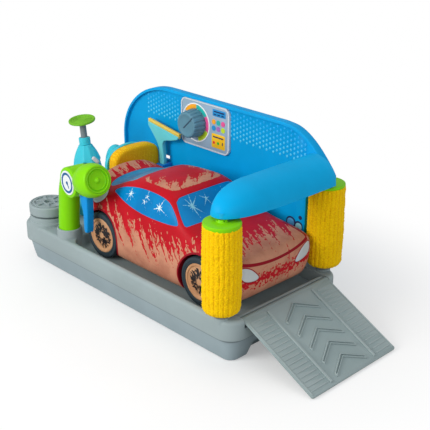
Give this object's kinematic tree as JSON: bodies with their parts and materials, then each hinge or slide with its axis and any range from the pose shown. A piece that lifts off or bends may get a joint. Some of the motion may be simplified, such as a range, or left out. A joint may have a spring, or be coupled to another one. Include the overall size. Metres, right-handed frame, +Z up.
{
  "type": "toy car wash playset",
  "caption": "Toy car wash: a long tray with a fold-down ramp, a control wall, an arch over two turning soft rollers, wash tools in holders and a toy car in the bay",
  "frame": {"origin": "centre of the bounding box at floor level", "axes": "+X from the tool corner to the ramp, +Y from the open side to the rear wall, +Z up"},
  "size_m": [0.6032, 0.2576, 0.271],
  "materials": {
    "base_grey": "fine matte",
    "ramp_grey": "fine matte",
    "wall_blue": "satin",
    "arch_blue": "satin",
    "bracket_blue": "satin",
    "knob_grey": "satin",
    "plate_grey": "satin with printed sticker",
    "lime": "satin",
    "teal": "satin",
    "blade_yellow": "matte",
    "sleeve_yellow": "chenille pile",
    "pad_yellow": "open mesh over sponge",
    "stem_grey": "satin",
    "trigger_blue": "satin",
    "gauge_white": "printed",
    "car_red": "satin with printed dirt",
    "chassis_black": "matte",
    "tyre_black": "matte",
    "hub_beige": "satin with printed spokes",
    "steel": "zinc plated"
  },
  "bodies": {
    "base": {"base_deck": "base_grey", "base_skirt": "base_grey", "base_screw_rear_near": "steel", "base_screw_rear_far": "steel", "base_screw_front_near": "steel", "base_screw_front_far": "steel", "ramp_pin_near": "steel", "ramp_pin_far": "steel", "rear_wall": "wall_blue", "wall_screw_rear": "steel", "wall_screw_middle": "steel", "wall_screw_front": "steel", "arch": "arch_blue", "arch_screw_rear": "steel", "arch_screw_front": "steel", "control_plate": "plate_grey", "squeegee_bracket": "bracket_blue", "roller_spindle_near": "steel", "roller_spindle_far": "steel", "corner_wheel_post": "steel"},
    "ramp_flap": {"ramp": "ramp_grey"},
    "roller_near": {"roller_core_near": "lime", "roller_sleeve_near": "sleeve_yellow", "roller_cap_near": "lime"},
    "roller_far": {"roller_core_far": "lime", "roller_sleeve_far": "sleeve_yellow", "roller_cap_far": "lime"},
    "dial": {"dial_knob": "knob_grey", "knob_retainer": "plate_grey"},
    "water_gun": {"gun_half_near": "lime", "gun_half_far": "lime", "gun_nose": "lime", "gauge_disc": "gauge_white", "trigger_pin": "steel"},
    "gun_trigger": {"trigger": "trigger_blue"},
    "bottle": {"bottle_body": "teal", "bottle_collar": "teal"},
    "pump": {"plunger_stem": "stem_grey", "push_pad": "lime"},
    "brush": {"brush_body": "teal", "brush_pad": "pad_yellow"},
    "squeegee": {"squeegee_handle": "teal", "squeegee_blade": "blade_yellow"},
    "car": {"car_body": "car_red", "car_chassis": "chassis_black"},
    "front_wheels": {"axle_front": "steel", "hub_front_near": "hub_beige", "hub_front_far": "hub_beige", "tyre_front_near": "tyre_black", "tyre_front_far": "tyre_black"},
    "rear_wheels": {"axle_rear": "steel", "hub_rear_near": "hub_beige", "hub_rear_far": "hub_beige", "tyre_rear_near": "tyre_black", "tyre_rear_far": "tyre_black"},
    "spinner": {"corner_wheel": "base_grey"}
  },
  "joints": [
    {"name": "ramp_fold", "type": "hinge", "parent": "base", "child": "ramp_flap", "pos_m": [0.1774, 0, 0.06], "axis": [0, -1, 0], "range_deg": [0, 97]},
    {"name": "roller_near_spin", "type": "hinge", "parent": "base", "child": "roller_near", "pos_m": [0.1567, -0.103, 0.135], "axis": [0, 0, 1], "continuous": true},
    {"name": "roller_far_spin", "type": "hinge", "parent": "base", "child": "roller_far", "pos_m": [0.1567, 0.103, 0.135], "axis": [0, 0, 1], "continuous": true},
    {"name": "dial_turn", "type": "hinge", "parent": "base", "child": "dial", "pos_m": [-0.1021, 0.0943, 0.2295], "axis": [0, -1, 0], "continuous": true},
    {"name": "gun_lift", "type": "slide", "parent": "base", "child": "water_gun", "axis": [0, 0, 1], "range_m": [0, 0.035]},
    {"name": "trigger_pull", "type": "hinge", "parent": "water_gun", "child": "gun_trigger", "pos_m": [-0.13791, -0.09615, 0.1518], "axis": [0.1045, 0.9945, 0], "range_deg": [0, 14], "stiffness_Nm_per_rad": 0.4, "springref_deg": -6.88},
    {"name": "bottle_lift", "type": "slide", "parent": "base", "child": "bottle", "axis": [-0.1392, 0, 0.9903], "range_m": [0, 0.02]},
    {"name": "pump_press", "type": "slide", "parent": "bottle", "child": "pump", "axis": [0.1392, 0, -0.9903], "range_m": [0, 0.019], "stiffness_N_per_m": 120, "springref_m": -0.006},
    {"name": "brush_lift", "type": "slide", "parent": "base", "child": "brush", "axis": [0, 0, 1], "range_m": [0, 0.007]},
    {"name": "squeegee_lift", "type": "slide", "parent": "base", "child": "squeegee", "axis": [0, 0, 1], "range_m": [0, 0.03]},
    {"name": "car_lift", "type": "slide", "parent": "base", "child": "car", "axis": [0, 0, 1], "range_m": [0, 0.03]},
    {"name": "front_axle_roll", "type": "hinge", "parent": "car", "child": "front_wheels", "pos_m": [0.0914, 0, 0.0843], "axis": [0, 1, 0], "continuous": true},
    {"name": "rear_axle_roll", "type": "hinge", "parent": "car", "child": "rear_wheels", "pos_m": [-0.1231, 0, 0.0843], "axis": [0, 1, 0], "continuous": true},
    {"name": "spinner_turn", "type": "hinge", "parent": "base", "child": "spinner", "pos_m": [-0.2626, -0.079, 0.0793], "axis": [0, 0, 1], "continuous": true}
  ]
}
